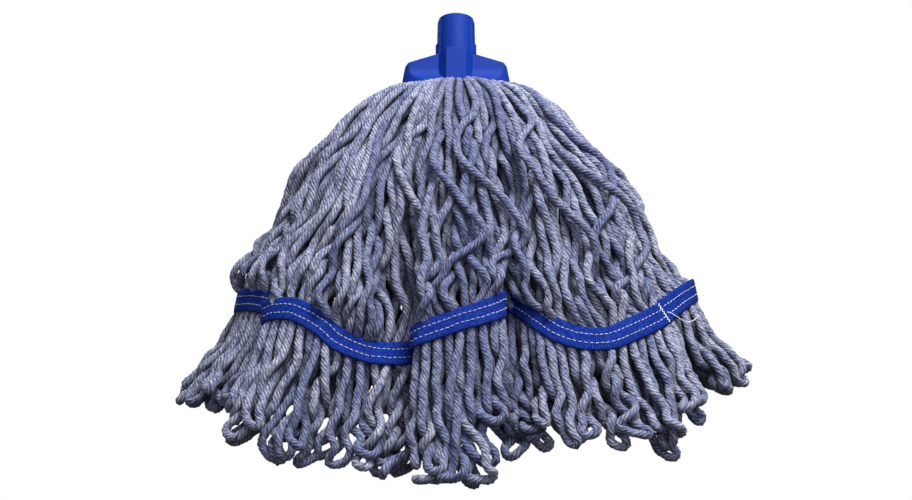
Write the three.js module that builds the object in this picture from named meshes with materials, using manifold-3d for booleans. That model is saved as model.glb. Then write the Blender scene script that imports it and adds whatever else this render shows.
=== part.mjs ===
// Looped-end string mop head: a two-shell moulded handle socket that grips a bundle of
// cotton yarn, with one stitched tape band round the yarn above its looped ends.
// Millimetres. Origin at the centre of the handle socket's top rim, +Z up along the
// handle, +X to the right of the mop and -Y to its front.

import * as THREE from 'three';
import { mergeVertices } from 'three/addons/utils/BufferGeometryUtils.js';
import Module from 'manifold-3d';

const wasm = await Module();
wasm.setup();

// ---------------------------------------------------------------- driving dimensions

const HANDLE_BORE_RADIUS = 12.7;      // takes a 25 mm handle
const THREAD_CREST_RADIUS = 12.0;
const THREAD_PITCH = 5;
const THREAD_TURNS = 4;
const THREAD_TOP_Z = -14;
const THREAD_ROOT_HALF = 1.2;          // half widths of a thread ring at its root and crest
const THREAD_CREST_HALF = 0.5;
const BORE_OPENING = 1;                // the bore tool runs this far past the rim
const BORE_DEPTH = 42;

const TUBE_TOP_RADIUS = 16;
const TUBE_BASE_RADIUS = 16.6;
const TUBE_BASE_Z = -47;
const RIM_ROUNDING = 1.2;
const RIM_FACET = 0.35;                // middle of the rim's rounded corner
const TUBE_SEGMENTS = 40;

const LAND_HALF_DEPTH = 8.9;          // side lands along the parting line of the tube
const LAND_PROUD = 0.9;
const LAND_TOP_Z = -3.8;
const LAND_BOTTOM_Z = -42.8;
const LUG_HALF_DEPTH = 4;             // lugs at the foot of the lands
const LUG_REACH = 18.3;
const LUG_TOP_Z = -25.6;
const LUG_BOTTOM_Z = -34.4;

const SHOULDER_TOP_Z = -38.8;
const SHOULDER_TOP_X = 17;
const SHOULDER_END_X = 42.4;
const SHOULDER_END_Z = -47;
const SHOULDER_CORNER_X = 45.2;
const SHOULDER_CORNER_Z = -50.2;
const MOUTH_HALF_WIDTH = 48.8;
const MOUTH_Z = -68;
const PLATE_HALF_DEPTH = 12;
const COVE_TOP_Z = -53.5;
const COVE_RADIUS = 18.5;
const COVE_START = THREE.MathUtils.degToRad(5);     // lean of the cove from vertical, top
const COVE_END = THREE.MathUtils.degToRad(66);      // and foot
const COVE_STEPS = 6;
const SKIRT_HALF_WIDTH = 50;
const SKIRT_HALF_DEPTH = 22;
const WALL = 2.6;
const CHAMBER_TOP_Z = -47.5;

const SPINE_HALF_WIDTH = 8.6;
const SPINE_FRONT = 20;
const SPINE_ROOT_HALF_WIDTH = 14.5;
const SPINE_ROOT = 13;
const SPINE_TOP_Z = -35.7;
const SPINE_ROOT_TOP_Z = -38.3;

const SPLIT_GAP = 0.3;                // between the two shells
const CLEARANCE = 0.4;
const PAST = 60;                      // half size of tools that reach past the socket

const SCREW_X = 39.6;
const SCREW_Z = -56.5;
const SCREW_BOSS_RADIUS = 3.3;
const SCREW_BOSS_REACH = 11.5;
const SCREW_RADIUS = 1.5;
const SCREW_HEAD_RADIUS = 2.8;
const SCREW_HEAD_HEIGHT = 2;
const SCREW_HEAD_Y = 8.6;
const SCREW_TIP_Y = -8.4;

const BAR_RADIUS = 3;
const BAR_HALF_LENGTH = 35.6;
const BAR_Z = -56;
const FOLD_OUTER_HALF_DEPTH = 6.2;
const FOLD_HALF_LENGTH = 34.5;
const FOLD_BOTTOM_Z = -60.2;
const BINDING_THICKNESS = 1;
const BINDING_HALF_LENGTH = 35.5;

const OUTER_HANKS = 16;
const INNER_HANKS = 8;
const YARN_LAYER = 22;                // thickness of the outer yarn layer
const HANK_GAP = 0.8;                 // between neighbouring hanks
const CORE_GAP = 3;                   // between the outer and inner hanks

const BAND_STATION = 0.68;            // share of the yarn's run at which the band is sewn
const BAND_WIDTH = 19.5;
const BAND_THICKNESS = 1.5;
const BAND_SEGMENTS = 64;
const STITCH_RADIUS = 0.35;
const STITCH_INSET = 6.3;              // from the band's edges to the stitch rows
const BARTACK_ANGLE = THREE.MathUtils.degToRad(-32);
const BARTACK_WIDTH = 1.6;
const TAIL_THREAD_RADIUS = 0.4;
// The loose end of the bartack's thread, lying outward over the yarn below the band.
const THREAD_ROUTE = [
  [170.5, -61.5, -288.5], [174, -60, -289.2], [179, -57, -291.5], [184.5, -53.5, -293.8],
  [190, -49.5, -293.5], [194.5, -45.5, -291], [198.5, -42.5, -287],
];

// Yarn envelope: outward reach and height of the outer yarn surface, mouth to loop ends,
// down the side of the mop, down its front and down its back. The band sits where a run
// above it meets the run below it.
const SIDE_ABOVE_BAND = [
  [50, -69.8], [66, -69.6], [84, -80], [102, -97], [119, -119], [142, -146],
  [156, -172], [168, -196], [180, -219], [190, -241], [197, -266],
];
const SIDE_BELOW_BAND = [[197, -266], [207, -292], [224, -316], [239, -338]];
const FRONT_ABOVE_BAND = [
  [24.5, -69.8], [34, -71], [46, -82], [58, -100], [68, -125], [76, -160],
  [83, -200], [89, -250], [95, -308],
];
const FRONT_BELOW_BAND = [[95, -308], [100, -345], [108, -390], [114, -432]];
// The back of the mop is drawn up a little: its band and its loop ends lie higher.
const BACK_ABOVE_BAND = [
  [24.5, -69.8], [34, -71], [47, -82], [60, -99], [71, -122], [80, -153],
  [88, -190], [93, -232], [96, -284],
];
const BACK_BELOW_BAND = [[96, -284], [99, -312], [104, -344], [109, -374]];
// Inside the mouth: outer and inner surfaces of the yarn, side and front.
const MOUTH_STATIONS = [
  { side: [42, 12], front: [9.8, 4], z: [-61, -61] },
  { side: [45.4, 18], front: [16.4, 7], z: [-68.6, -71.5] },
];

// ---------------------------------------------------------------- materials

function finish(color, roughness, metalness = 0) {
  return new THREE.MeshStandardMaterial({ color, roughness, metalness });
}

const bluePlastic = finish(0x2449b4, 0.42);
const heatherYarn = finish(0x9699b2, 0.95);
const blueTape = finish(0x1b38b0, 0.8);
const whiteThread = finish(0xe8e8ea, 0.7);
const steel = finish(0xb8bcc2, 0.35, 1);

// ---------------------------------------------------------------- solids

function toSolid(geometry) {
  const plain = geometry.clone();
  plain.deleteAttribute('normal');
  plain.deleteAttribute('uv');
  const merged = mergeVertices(plain.index ? plain : mergeVertices(plain), 1e-4);
  return new wasm.Manifold(new wasm.Mesh({
    numProp: 3,
    vertProperties: new Float32Array(merged.attributes.position.array),
    triVerts: new Uint32Array(merged.index.array),
  }));
}

function toGeometry(solid) {
  const mesh = solid.getMesh();
  const geometry = new THREE.BufferGeometry();
  geometry.setAttribute('position', new THREE.BufferAttribute(mesh.vertProperties, 3));
  geometry.setIndex(new THREE.BufferAttribute(mesh.triVerts, 1));
  return geometry;
}

function box(minimum, maximum) {
  const size = new THREE.Vector3(...maximum).sub(new THREE.Vector3(...minimum));
  const centre = new THREE.Vector3(...maximum).add(new THREE.Vector3(...minimum)).divideScalar(2);
  const geometry = new THREE.BoxGeometry(size.x, size.y, size.z);
  return toSolid(geometry.translate(centre.x, centre.y, centre.z));
}

// A solid of revolution about Z from [radius, z] points that start and end on the axis.
function revolve(points, segments) {
  const outline = points.map(([radius, z]) => new THREE.Vector2(radius, z));
  return toSolid(new THREE.LatheGeometry(outline, segments).rotateX(Math.PI / 2));
}

function shapeOf(points) {
  return new THREE.Shape(points.map(([u, v]) => new THREE.Vector2(u, v)));
}

// An outline in X and Z, carried through `depth` along Y about y = 0.
function frontPrism(points, depth) {
  const geometry = new THREE.ExtrudeGeometry(shapeOf(points), { depth, bevelEnabled: false });
  return toSolid(geometry.translate(0, 0, -depth / 2).rotateX(Math.PI / 2));
}

// An outline in Y and Z, carried through `width` along X about x = 0.
function sidePrism(points, width) {
  const geometry = new THREE.ExtrudeGeometry(shapeOf(points), { depth: width, bevelEnabled: false });
  const turned = geometry.translate(0, 0, -width / 2).rotateX(Math.PI / 2).rotateZ(Math.PI / 2);
  return toSolid(turned);
}

// An outline in X and Y, carried from z = bottom to z = top.
function planPrism(points, bottom, top) {
  const geometry = new THREE.ExtrudeGeometry(shapeOf(points), {
    depth: top - bottom, bevelEnabled: false,
  });
  return toSolid(geometry.translate(0, 0, bottom));
}

function rodAlongX(radius, halfLength, x, y, z, segments = 16) {
  const geometry = new THREE.CylinderGeometry(radius, radius, 2 * halfLength, segments);
  return toSolid(geometry.rotateZ(Math.PI / 2).translate(x, y, z));
}

function rodAlongY(radius, from, to, x, z, segments = 16) {
  const geometry = new THREE.CylinderGeometry(radius, radius, to - from, segments);
  return toSolid(geometry.translate(x, (from + to) / 2, z));
}

function ellipse(halfWidth, halfDepth, count = 48) {
  return Array.from({ length: count }, (_, i) => {
    const angle = (2 * Math.PI * i) / count;
    return [halfWidth * Math.cos(angle), halfDepth * Math.sin(angle)];
  });
}

// Skins a row of equal rings of Vector3. An open row gets flat strip caps, for rings whose
// first half runs one way and whose second half runs back beside it; a loop joins its ends.
// The closing side is split the other way, so that neighbouring sectors share a diagonal.
function skin(rings, loop = false) {
  const count = rings[0].length;
  const positions = rings.flat().flatMap((point) => [point.x, point.y, point.z]);
  const faces = [];
  const last = loop ? rings.length : rings.length - 1;
  for (let i = 0; i < last; i++) {
    const next = (i + 1) % rings.length;
    for (let j = 0; j < count; j++) {
      const k = (j + 1) % count;
      const [a, b, c, d] = [i * count + j, next * count + j, next * count + k, i * count + k];
      if (k > 0) faces.push([a, b, c], [a, c, d]);
      else faces.push([a, b, d], [b, c, d]);
    }
  }
  if (!loop) {
    const end = (rings.length - 1) * count;
    for (let j = 0; j < count / 2 - 1; j++) {
      const back = count - 1 - j;
      faces.push([j, j + 1, back], [j + 1, back - 1, back]);
      faces.push([end + j, end + back, end + j + 1], [end + j + 1, end + back, end + back - 1]);
    }
  }
  return outwardGeometry(positions, faces);
}

// Turns the faces outward if the enclosed volume comes out negative.
function outwardGeometry(positions, faces) {
  const corner = (index) => new THREE.Vector3().fromArray(positions, 3 * index);
  const volume = faces.reduce((sum, [a, b, c]) => {
    return sum + corner(a).dot(corner(b).cross(corner(c)));
  }, 0);
  const ordered = volume < 0 ? faces.map(([a, b, c]) => [a, c, b]) : faces;
  const geometry = new THREE.BufferGeometry();
  geometry.setAttribute('position', new THREE.Float32BufferAttribute(positions, 3));
  geometry.setIndex(ordered.flat());
  return geometry;
}

// ---------------------------------------------------------------- handle socket shells

function tubeSolid() {
  return revolve([
    [0, TUBE_BASE_Z],
    [TUBE_BASE_RADIUS, TUBE_BASE_Z],
    [TUBE_TOP_RADIUS, -RIM_ROUNDING],
    [TUBE_TOP_RADIUS - RIM_FACET, -RIM_FACET],
    [TUBE_TOP_RADIUS - RIM_ROUNDING, 0],
    [0, 0],
  ], TUBE_SEGMENTS);
}

// The handle bore, with a coarse thread drawn as plain rings.
function boreSolid() {
  const outline = [[0, -BORE_DEPTH], [HANDLE_BORE_RADIUS, -BORE_DEPTH]];
  for (let turn = THREAD_TURNS - 1; turn >= 0; turn--) {
    const z = THREAD_TOP_Z - turn * THREAD_PITCH;
    outline.push([HANDLE_BORE_RADIUS, z - THREAD_ROOT_HALF]);
    outline.push([THREAD_CREST_RADIUS, z - THREAD_CREST_HALF]);
    outline.push([THREAD_CREST_RADIUS, z + THREAD_CREST_HALF]);
    outline.push([HANDLE_BORE_RADIUS, z + THREAD_ROOT_HALF]);
  }
  outline.push([HANDLE_BORE_RADIUS, BORE_OPENING], [0, BORE_OPENING]);
  return revolve(outline, TUBE_SEGMENTS);
}

// Raised lands on both sides of the tube, with a lug at the foot of each.
function landSolid() {
  const reach = TUBE_BASE_RADIUS + LAND_PROUD;
  const sleeve = revolve([
    [0, LAND_BOTTOM_Z], [reach, LAND_BOTTOM_Z],
    [TUBE_TOP_RADIUS + LAND_PROUD, LAND_TOP_Z], [0, LAND_TOP_Z],
  ], TUBE_SEGMENTS);
  const strip = box(
    [-PAST, -LAND_HALF_DEPTH, LAND_BOTTOM_Z], [PAST, LAND_HALF_DEPTH, LAND_TOP_Z],
  );
  const lugs = box(
    [-LUG_REACH, -LUG_HALF_DEPTH, LUG_BOTTOM_Z], [LUG_REACH, LUG_HALF_DEPTH, LUG_TOP_Z],
  );
  return sleeve.intersect(strip).add(lugs);
}

function shoulderOutline(inset, bottom) {
  const half = [
    [0, SHOULDER_TOP_Z - inset],
    [SHOULDER_TOP_X, SHOULDER_TOP_Z - inset],
    [SHOULDER_END_X - inset, SHOULDER_END_Z - inset],
    [SHOULDER_CORNER_X - inset * 1.1, SHOULDER_CORNER_Z - inset * 0.8],
    [MOUTH_HALF_WIDTH - inset, MOUTH_Z],
    [MOUTH_HALF_WIDTH - inset, bottom],
  ];
  const mirrored = half.slice(1).reverse().map(([x, z]) => [-x, z]);
  return [...half, ...mirrored];
}

// Section of the body across the plate: a hollow curve that swings out from the plate.
function coveSection(inset) {
  const curve = Array.from({ length: COVE_STEPS + 1 }, (_, i) => {
    const lean = THREE.MathUtils.lerp(COVE_START, COVE_END, i / COVE_STEPS);
    return [
      PLATE_HALF_DEPTH - inset + COVE_RADIUS * (Math.cos(COVE_START) - Math.cos(lean)),
      COVE_TOP_Z - inset * 0.35 - COVE_RADIUS * (Math.sin(lean) - Math.sin(COVE_START)),
    ];
  });
  const [footDepth] = curve[COVE_STEPS];
  const half = [[PLATE_HALF_DEPTH - inset, 0], ...curve, [footDepth, -2 * PAST]];
  return [...half, ...half.slice().reverse().map(([y, z]) => [-y, z])];
}

// The flat-topped body that spreads from the tube to the yarn mouth, or its hollow.
function bodySolid(inset, bottom) {
  const outline = frontPrism(shoulderOutline(inset, bottom), PAST);
  const section = sidePrism(coveSection(inset), 2 * PAST);
  const plan = planPrism(ellipse(SKIRT_HALF_WIDTH - inset, SKIRT_HALF_DEPTH - inset), bottom, 0);
  return outline.intersect(section).intersect(plan);
}

// The raised spine down the middle of both faces, with sloping flanks.
function spineSolid() {
  const plan = planPrism([
    [-SPINE_HALF_WIDTH, -SPINE_FRONT], [SPINE_HALF_WIDTH, -SPINE_FRONT],
    [SPINE_ROOT_HALF_WIDTH, -SPINE_ROOT], [SPINE_ROOT_HALF_WIDTH, SPINE_ROOT],
    [SPINE_HALF_WIDTH, SPINE_FRONT], [-SPINE_HALF_WIDTH, SPINE_FRONT],
    [-SPINE_ROOT_HALF_WIDTH, SPINE_ROOT], [-SPINE_ROOT_HALF_WIDTH, -SPINE_ROOT],
  ], MOUTH_Z, 0);
  const front = frontPrism([
    [-SPINE_ROOT_HALF_WIDTH - 1, MOUTH_Z], [SPINE_ROOT_HALF_WIDTH + 1, MOUTH_Z],
    [SPINE_ROOT_HALF_WIDTH + 1, SPINE_ROOT_TOP_Z - 0.5], [SPINE_HALF_WIDTH, SPINE_TOP_Z],
    [-SPINE_HALF_WIDTH, SPINE_TOP_Z], [-SPINE_ROOT_HALF_WIDTH - 1, SPINE_ROOT_TOP_Z - 0.5],
  ], PAST);
  return plan.intersect(front);
}

function socketSolid() {
  const chamber = bodySolid(WALL, MOUTH_Z - 2).intersect(
    box([-PAST, -PAST, MOUTH_Z - 2], [PAST, PAST, CHAMBER_TOP_Z]),
  );
  let socket = tubeSolid().add(landSolid()).add(bodySolid(0, MOUTH_Z)).add(spineSolid());
  socket = socket.subtract(chamber).subtract(boreSolid());
  for (const x of [-SCREW_X, SCREW_X]) {
    const boss = rodAlongY(SCREW_BOSS_RADIUS, -SCREW_BOSS_REACH, SCREW_BOSS_REACH, x, SCREW_Z)
      .intersect(bodySolid(0, MOUTH_Z));
    const hole = rodAlongY(SCREW_RADIUS + CLEARANCE, SCREW_TIP_Y - 0.6, PAST, x, SCREW_Z);
    const recess = rodAlongY(SCREW_HEAD_RADIUS + CLEARANCE, SCREW_HEAD_Y - CLEARANCE, PAST, x, SCREW_Z);
    socket = socket.add(boss).subtract(hole).subtract(recess);
  }
  return socket;
}

const socket = socketSolid();

function frontShell() {
  return toGeometry(socket.intersect(box([-PAST, -PAST, -2 * PAST], [PAST, -SPLIT_GAP / 2, PAST])));
}

function rearShell() {
  return toGeometry(socket.intersect(box([-PAST, SPLIT_GAP / 2, -2 * PAST], [PAST, PAST, PAST])));
}

function shellScrew(x) {
  const shank = rodAlongY(SCREW_RADIUS, SCREW_TIP_Y, SCREW_HEAD_Y + 0.5, x, SCREW_Z);
  const head = rodAlongY(SCREW_HEAD_RADIUS, SCREW_HEAD_Y, SCREW_HEAD_Y + SCREW_HEAD_HEIGHT, x, SCREW_Z);
  const slotLong = box(
    [x - 1.9, SCREW_HEAD_Y + 1.1, SCREW_Z - 0.4], [x + 1.9, SCREW_HEAD_Y + 3, SCREW_Z + 0.4],
  );
  const slotCross = box(
    [x - 0.4, SCREW_HEAD_Y + 1.1, SCREW_Z - 1.9], [x + 0.4, SCREW_HEAD_Y + 3, SCREW_Z + 1.9],
  );
  return toGeometry(shank.add(head).subtract(slotLong).subtract(slotCross));
}

// ---------------------------------------------------------------- inside the socket

function yarnBar() {
  return toGeometry(rodAlongX(BAR_RADIUS, BAR_HALF_LENGTH, 0, 0, BAR_Z));
}

// An upside-down U round the bar, between two half depths, down to z = bottom.
function saddle(innerHalfDepth, outerHalfDepth, halfLength, bottom) {
  const outline = (halfDepth) => {
    const arc = Array.from({ length: 9 }, (_, i) => {
      const angle = (Math.PI * i) / 8;
      return [halfDepth * Math.cos(angle), BAR_Z + halfDepth * Math.sin(angle)];
    });
    return [[halfDepth, bottom - 5], ...arc, [-halfDepth, bottom - 5]];
  };
  const outer = sidePrism(outline(outerHalfDepth), 2 * halfLength);
  const inner = sidePrism(outline(innerHalfDepth), 2 * halfLength + 2);
  return outer.subtract(inner).intersect(box([-PAST, -PAST, bottom], [PAST, PAST, 0]));
}

function yarnFold() {
  const inner = BAR_RADIUS + CLEARANCE;
  return toGeometry(saddle(inner, FOLD_OUTER_HALF_DEPTH, FOLD_HALF_LENGTH, FOLD_BOTTOM_Z));
}

function bindingTape() {
  const inner = FOLD_OUTER_HALF_DEPTH + CLEARANCE;
  return toGeometry(
    saddle(inner, inner + BINDING_THICKNESS, BINDING_HALF_LENGTH, FOLD_BOTTOM_Z + 1),
  );
}

// ---------------------------------------------------------------- yarn

function smoothRun(points) {
  return new THREE.CatmullRomCurve3(points.map(([r, z]) => new THREE.Vector3(r, z, 0)), false);
}

const sideRuns = [smoothRun(SIDE_ABOVE_BAND), smoothRun(SIDE_BELOW_BAND)];
const frontRuns = [smoothRun(FRONT_ABOVE_BAND), smoothRun(FRONT_BELOW_BAND)];
const backRuns = [smoothRun(BACK_ABOVE_BAND), smoothRun(BACK_BELOW_BAND)];

// The run down the front, or the one down the back, that an angle round the mop belongs to.
function facingRuns(angle) {
  return Math.sin(angle) > 0 ? backRuns : frontRuns;
}

// Point of a run at station s: 0 at the mouth, BAND_STATION at the band, 1 at the loop ends.
function runPoint(runs, s) {
  if (s < BAND_STATION) return runs[0].getPointAt(s / BAND_STATION);
  return runs[1].getPointAt((s - BAND_STATION) / (1 - BAND_STATION));
}

// Moves a run's point inward, square to the run, by the thickness of the yarn layer.
function runPointInside(runs, s, thickness) {
  const step = 0.004;
  const before = runPoint(runs, Math.max(0, s - step));
  const after = runPoint(runs, Math.min(1, s + step));
  const along = after.sub(before).normalize();
  return runPoint(runs, s).add(new THREE.Vector3(along.y, -along.x, 0).multiplyScalar(thickness));
}

// The side run and a facing run blended round the mop at an angle from +X.
function around(angle, side, facing) {
  const cosine = Math.cos(angle);
  const sine = Math.sin(angle);
  return new THREE.Vector3(
    side.x * cosine,
    facing.x * sine,
    side.y * cosine * cosine + facing.y * sine * sine,
  );
}

function envelopePoint(angle, s, inside = 0) {
  const facing = facingRuns(angle);
  if (inside === 0) return around(angle, runPoint(sideRuns, s), runPoint(facing, s));
  const facingInside = inside * Math.min(1, 0.55 + 1.2 * s);
  return around(
    angle, runPointInside(sideRuns, s, inside), runPointInside(facing, s, facingInside),
  );
}

// Narrows a sector so that its neighbour stays clear, given the local radius.
function sectorAngles(from, to, radius, count) {
  const trim = HANK_GAP / 2 / radius;
  return Array.from({ length: count }, (_, i) => {
    return THREE.MathUtils.lerp(from + trim, to - trim, i / (count - 1));
  });
}

const HANK_STATIONS = [0, 0.05, 0.12, 0.2, 0.3, 0.42, 0.55, 0.68, 0.8, 0.9, 1];
const HANK_POINTS = 4;

function outerHank(index) {
  const from = (2 * Math.PI * index) / OUTER_HANKS;
  const to = (2 * Math.PI * (index + 1)) / OUTER_HANKS;
  const rings = MOUTH_STATIONS.map(({ side, front, z }) => {
    const angles = sectorAngles(from, to, front[1], HANK_POINTS);
    const at = (layer) => (angle) => new THREE.Vector3(
      side[layer] * Math.cos(angle), front[layer] * Math.sin(angle), z[layer],
    );
    return [...angles.map(at(0)), ...angles.reverse().map(at(1))];
  });
  for (const s of HANK_STATIONS) {
    const radius = Math.min(runPoint(frontRuns, s).x, 60) * 0.6;
    const angles = sectorAngles(from, to, radius, HANK_POINTS);
    const outer = angles.map((angle) => envelopePoint(angle, s));
    const inner = angles.reverse().map((angle) => envelopePoint(angle, s, YARN_LAYER));
    rings.push([...outer, ...inner]);
  }
  return skin(rings);
}

const CORE_STATIONS = [0.06, 0.11, 0.17, 0.25, 0.36, 0.48, 0.6, 0.72, 0.85, 0.97];

function innerHank(index) {
  const from = (2 * Math.PI * index) / INNER_HANKS;
  const to = (2 * Math.PI * (index + 1)) / INNER_HANKS;
  const rings = CORE_STATIONS.map((s) => {
    const share = 0.3 + 0.25 * s;
    const angles = sectorAngles(from, to, 8, HANK_POINTS);
    const outer = angles.map((angle) => envelopePoint(angle, s, YARN_LAYER + CORE_GAP));
    const inner = angles.reverse().map((angle) => {
      const point = envelopePoint(angle, s, YARN_LAYER + CORE_GAP);
      return new THREE.Vector3(point.x * share, point.y * share, point.z - 6 * (1 - s));
    });
    return [...outer, ...inner];
  });
  return skin(rings);
}

// ---------------------------------------------------------------- tail band

// A point on the yarn's outer surface at the band, moved outward by `proud`.
// `across` runs from -1 at the band's lower edge to 1 at its upper edge.
function bandPoint(angle, across, proud) {
  const step = 0.002;
  const middle = envelopePoint(angle, BAND_STATION);
  const down = envelopePoint(angle, BAND_STATION + 0.03)
    .sub(envelopePoint(angle, BAND_STATION - 0.03)).normalize();
  const along = envelopePoint(angle + step, BAND_STATION)
    .sub(envelopePoint(angle - step, BAND_STATION)).normalize();
  const outward = new THREE.Vector3().crossVectors(down, along).normalize();
  const sign = outward.x * middle.x + outward.y * middle.y < 0 ? -1 : 1;
  return middle
    .addScaledVector(down, (-across * BAND_WIDTH) / 2)
    .addScaledVector(outward, sign * proud);
}

const BAND_INNER = 1.6;
const BAND_OUTER = BAND_INNER + BAND_THICKNESS;

function tailBand() {
  const rings = Array.from({ length: BAND_SEGMENTS }, (_, i) => {
    const angle = (2 * Math.PI * i) / BAND_SEGMENTS;
    return [
      bandPoint(angle, -1, BAND_INNER), bandPoint(angle, 1, BAND_INNER),
      bandPoint(angle, 1, BAND_OUTER), bandPoint(angle, -1, BAND_OUTER),
    ];
  });
  return skin(rings, true);
}

function stitchRow(across) {
  const centre = BAND_OUTER + 0.3 + STITCH_RADIUS;
  const tilt = (2 * STITCH_RADIUS) / BAND_WIDTH;
  const rings = Array.from({ length: BAND_SEGMENTS }, (_, i) => {
    const angle = (2 * Math.PI * i) / BAND_SEGMENTS;
    return [0, 1, 2, 3].map((corner) => {
      const turn = (Math.PI / 2) * corner;
      return bandPoint(
        angle, across + tilt * Math.cos(turn), centre + STITCH_RADIUS * Math.sin(turn),
      );
    });
  });
  return skin(rings, true);
}

function bartack() {
  const halfAngle = BARTACK_WIDTH / 2 / 150;
  const near = BAND_OUTER + 1.4;
  const far = near + 0.7;
  const rings = [-0.85, -0.4, 0, 0.4, 0.85].map((across) => [
    bandPoint(BARTACK_ANGLE - halfAngle, across, near),
    bandPoint(BARTACK_ANGLE + halfAngle, across, near),
    bandPoint(BARTACK_ANGLE + halfAngle, across, far),
    bandPoint(BARTACK_ANGLE - halfAngle, across, far),
  ]);
  return skin(rings);
}

function threadTail() {
  const route = new THREE.CatmullRomCurve3(THREAD_ROUTE.map((point) => new THREE.Vector3(...point)));
  const circle = new THREE.Shape().absarc(0, 0, TAIL_THREAD_RADIUS, 0, 2 * Math.PI);
  return new THREE.ExtrudeGeometry(circle, { steps: 18, curveSegments: 4, extrudePath: route });
}

// ---------------------------------------------------------------- assembly

const mopHead = new THREE.Group();

function addPart(name, geometry, material) {
  const mesh = new THREE.Mesh(geometry, material);
  mesh.name = name;
  mopHead.add(mesh);
}

addPart('front_shell', frontShell(), bluePlastic);
addPart('rear_shell', rearShell(), bluePlastic);
addPart('shell_screw_left', shellScrew(-SCREW_X), steel);
addPart('shell_screw_right', shellScrew(SCREW_X), steel);
addPart('yarn_bar', yarnBar(), steel);
addPart('yarn_fold', yarnFold(), heatherYarn);
addPart('binding_tape', bindingTape(), blueTape);
for (let i = 0; i < OUTER_HANKS; i++) {
  addPart(`outer_hank_${String(i + 1).padStart(2, '0')}`, outerHank(i), heatherYarn);
}
for (let i = 0; i < INNER_HANKS; i++) {
  addPart(`inner_hank_${i + 1}`, innerHank(i), heatherYarn);
}
addPart('tail_band', tailBand(), blueTape);
addPart('band_stitching_upper', stitchRow(1 - (2 * STITCH_INSET) / BAND_WIDTH), whiteThread);
addPart('band_stitching_lower', stitchRow((2 * STITCH_INSET) / BAND_WIDTH - 1), whiteThread);
addPart('band_bartack', bartack(), whiteThread);
addPart('thread_tail', threadTail(), whiteThread);

export default mopHead;
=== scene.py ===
"""Looped-end string mop head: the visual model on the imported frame.

Lengths inside the yarn and tape code are millimetres; meshes are written in metres.
"""

import math

import bpy
import numpy as np
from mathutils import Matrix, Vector


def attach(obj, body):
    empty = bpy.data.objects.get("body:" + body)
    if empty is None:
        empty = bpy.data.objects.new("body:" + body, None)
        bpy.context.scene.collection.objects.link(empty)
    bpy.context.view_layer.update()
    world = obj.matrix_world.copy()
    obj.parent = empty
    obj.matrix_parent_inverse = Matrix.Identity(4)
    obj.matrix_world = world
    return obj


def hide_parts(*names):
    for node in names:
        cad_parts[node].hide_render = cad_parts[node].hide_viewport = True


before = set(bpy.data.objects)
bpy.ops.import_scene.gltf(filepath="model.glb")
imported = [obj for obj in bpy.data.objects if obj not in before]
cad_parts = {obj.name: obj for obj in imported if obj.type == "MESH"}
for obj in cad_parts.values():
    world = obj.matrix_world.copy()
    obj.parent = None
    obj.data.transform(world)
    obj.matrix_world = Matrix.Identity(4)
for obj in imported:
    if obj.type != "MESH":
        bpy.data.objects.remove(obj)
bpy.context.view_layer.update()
rng = np.random.default_rng(7)

MM = 0.001

# ------------------------------ camera, light and floor

CAMERA_ELEVATION = math.radians(-17)
CAMERA_DISTANCE = 1.25
CAMERA_TARGET = Vector((0, 0, -0.2175))
VIEW_WIDTH = 0.785
FLOOR_Z = -0.445
FLOOR_REACH = 6000
FLOOR_GLOW = 0.68
WORLD_LIGHT = 0.07


def make_camera():
    data = bpy.data.cameras.new("camera")
    data.sensor_width = 36
    data.lens = data.sensor_width * CAMERA_DISTANCE / VIEW_WIDTH
    data.clip_end = 50
    camera = bpy.data.objects.new("camera", data)
    bpy.context.collection.objects.link(camera)
    back = Vector((0, -math.cos(CAMERA_ELEVATION), math.sin(CAMERA_ELEVATION)))
    camera.location = CAMERA_TARGET + back * CAMERA_DISTANCE
    camera.rotation_euler = (-back).to_track_quat("-Z", "Y").to_euler()
    bpy.context.scene.camera = camera


def add_area_light(name, location, size, power):
    data = bpy.data.lights.new(name, "AREA")
    data.shape = "SQUARE"
    data.size = size
    data.energy = power
    light = bpy.data.objects.new(name, data)
    bpy.context.collection.objects.link(light)
    light.location = location
    aim = CAMERA_TARGET - Vector(location)
    light.rotation_euler = aim.to_track_quat("-Z", "Y").to_euler()


def make_world():
    """White behind the object, and a dimmer even light from all round."""
    world = bpy.data.worlds.new("studio")
    bpy.context.scene.world = world
    world.use_nodes = True
    tree = world.node_tree
    seen = tree.nodes["Background"]
    seen.inputs["Color"].default_value = (1, 1, 1, 1)
    light = tree.nodes.new("ShaderNodeBackground")
    light.inputs["Strength"].default_value = WORLD_LIGHT
    pick = tree.nodes.new("ShaderNodeMixShader")
    path = tree.nodes.new("ShaderNodeLightPath")
    tree.links.new(path.outputs["Is Camera Ray"], pick.inputs[0])
    tree.links.new(light.outputs[0], pick.inputs[1])
    tree.links.new(seen.outputs[0], pick.inputs[2])
    tree.links.new(pick.outputs[0], tree.nodes["World Output"].inputs["Surface"])


make_camera()
add_area_light("key_light", (0.45, -0.95, 1.15), 0.7, 46)
add_area_light("front_light", (0.5, -1.9, -0.35), 1.6, 17)
add_area_light("fill_light", (-1.6, -1.2, 0.2), 1.0, 3)
add_area_light("rear_light", (-0.5, 2.0, 0.6), 1.6, 44)
make_world()
bpy.context.scene.view_settings.view_transform = "Standard"

# ------------------------------ curves


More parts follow.
